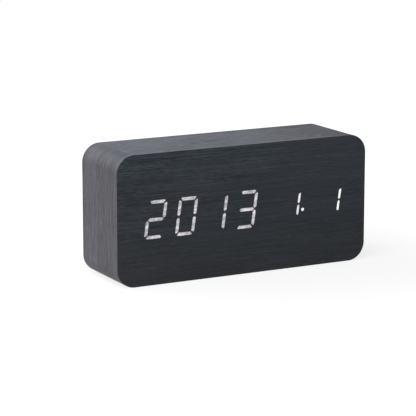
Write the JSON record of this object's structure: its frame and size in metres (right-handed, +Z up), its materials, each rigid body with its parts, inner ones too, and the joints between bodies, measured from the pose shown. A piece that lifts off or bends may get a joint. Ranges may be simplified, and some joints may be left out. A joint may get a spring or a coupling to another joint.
{
  "type": "digital clock",
  "caption": "Slim desk clock in a rounded wood-effect block, with slanted white LED digits that shine through its front film, and controls and a battery door on the back.",
  "frame": {"origin": "middle of the underside, on the surface the clock stands on", "axes": "+X to the right seen from the front, +Y from the display to the back, +Z up"},
  "size_m": [0.15, 0.043, 0.07],
  "materials": {
    "film": "matt black wood-grain film",
    "fibreboard": "raw milled fibreboard",
    "cover": "fine-textured black plastic",
    "key": "satin black plastic",
    "housing": "matt black",
    "resin": "milky resin, lit",
    "board": "green solder mask",
    "chip": "moulded black",
    "socket": "ivory nylon",
    "steel": "zinc-plated",
    "tin": "nickel-plated spring steel",
    "cell": "plain grey sleeve",
    "ribbon": "grey insulation",
    "red_lead": "red insulation",
    "black_lead": "black insulation"
  },
  "bodies": {
    "case": {"case_body": "fibreboard", "front_film": "film", "wrap_film": "film", "base_film": "film", "rear_film": "film", "rear_cover": "cover", "battery_1": "cell", "battery_2": "cell", "battery_3": "cell", "battery_4": "cell", "contact_plus": "tin", "contact_minus": "tin", "link_1_2": "tin", "link_2_3": "tin", "link_3_4": "tin", "main_board": "board", "digit_1_housing": "housing", "digit_2_housing": "housing", "digit_3_housing": "housing", "digit_4_housing": "housing", "date_housing": "housing", "digit_1_segments": "resin", "digit_2_segments": "resin", "digit_3_segments": "resin", "digit_4_segments": "resin", "date_segments": "resin", "clock_chip": "chip", "quartz_crystal": "steel", "main_socket": "socket", "key_board": "board", "key_socket": "socket", "set_key_switch": "chip", "up_key_switch": "chip", "down_key_switch": "chip", "sound_switch_body": "steel", "power_socket": "chip", "buzzer": "chip", "microphone": "steel", "ribbon_cable": "ribbon", "red_lead": "red_lead", "black_lead": "black_lead", "cover_screw_1": "steel", "cover_screw_2": "steel", "cover_screw_3": "steel", "cover_screw_4": "steel", "board_screw_1": "steel", "board_screw_2": "steel", "board_screw_3": "steel", "board_screw_4": "steel", "key_board_screw_1": "steel", "key_board_screw_2": "steel"},
    "set_key": {"set_button": "key", "set_plunger": "chip"},
    "up_key": {"up_button": "key", "up_plunger": "chip"},
    "down_key": {"down_button": "key", "down_plunger": "chip"},
    "sound_knob": {"sound_switch_knob": "key"},
    "door": {"battery_door": "cover"}
  },
  "joints": [
    {"name": "set_press", "type": "slide", "parent": "case", "child": "set_key", "axis": [0, -1, 0], "range_m": [0, 0.0006], "stiffness_N_per_m": 900},
    {"name": "up_press", "type": "slide", "parent": "case", "child": "up_key", "axis": [0, -1, 0], "range_m": [0, 0.0006], "stiffness_N_per_m": 900},
    {"name": "down_press", "type": "slide", "parent": "case", "child": "down_key", "axis": [0, -1, 0], "range_m": [0, 0.0006], "stiffness_N_per_m": 900},
    {"name": "sound_slide", "type": "slide", "parent": "case", "child": "sound_knob", "axis": [1, 0, 0], "range_m": [0, 0.002]},
    {"name": "door_swing", "type": "hinge", "parent": "case", "child": "door", "pos_m": [-0.03425, 0.0189, 0.0126], "axis": [-1, 0, 0], "range_deg": [0, 75]}
  ]
}
